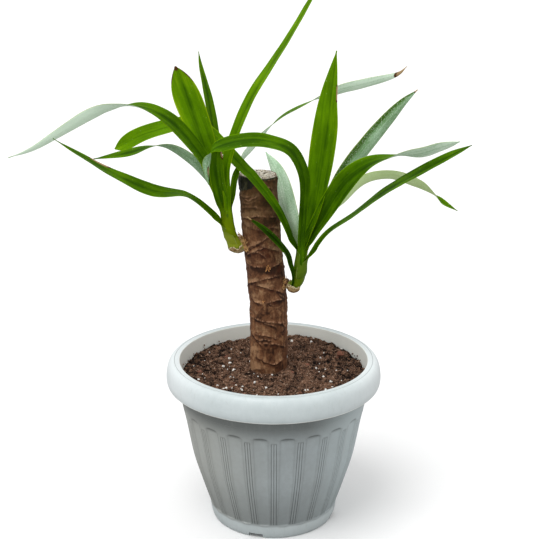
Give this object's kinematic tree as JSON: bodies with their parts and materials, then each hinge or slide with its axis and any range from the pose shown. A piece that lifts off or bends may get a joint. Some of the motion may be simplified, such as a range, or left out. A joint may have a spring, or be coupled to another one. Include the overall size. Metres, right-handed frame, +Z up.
{
  "type": "potted yucca",
  "caption": "Potted yucca: a sawn-off cane with two shoots of arching strap leaves, standing in soil in a round fluted plastic pot with a rolled rim.",
  "frame": {"origin": "centre of the pot's underside, on the ground", "axes": "+Z up along the pot's axis; the front faces -Y; +X is to the viewer's right"},
  "size_m": [0.4855, 0.2574, 0.6423],
  "materials": {
    "pot_plastic": "satin moulded plastic, pale grey-white",
    "potting_soil": "loose, dark, damp potting mix with white perlite grains",
    "cane_bark": "rough, papery brown bark with ring scars, pale sawn top",
    "leaf": "waxy green upper side, pale blue-green underside"
  },
  "bodies": {
    "root": {"pot": "pot_plastic", "soil": "potting_soil", "cane": "cane_bark", "left_shoot": "leaf", "right_shoot": "leaf"}
  },
  "joints": []
}
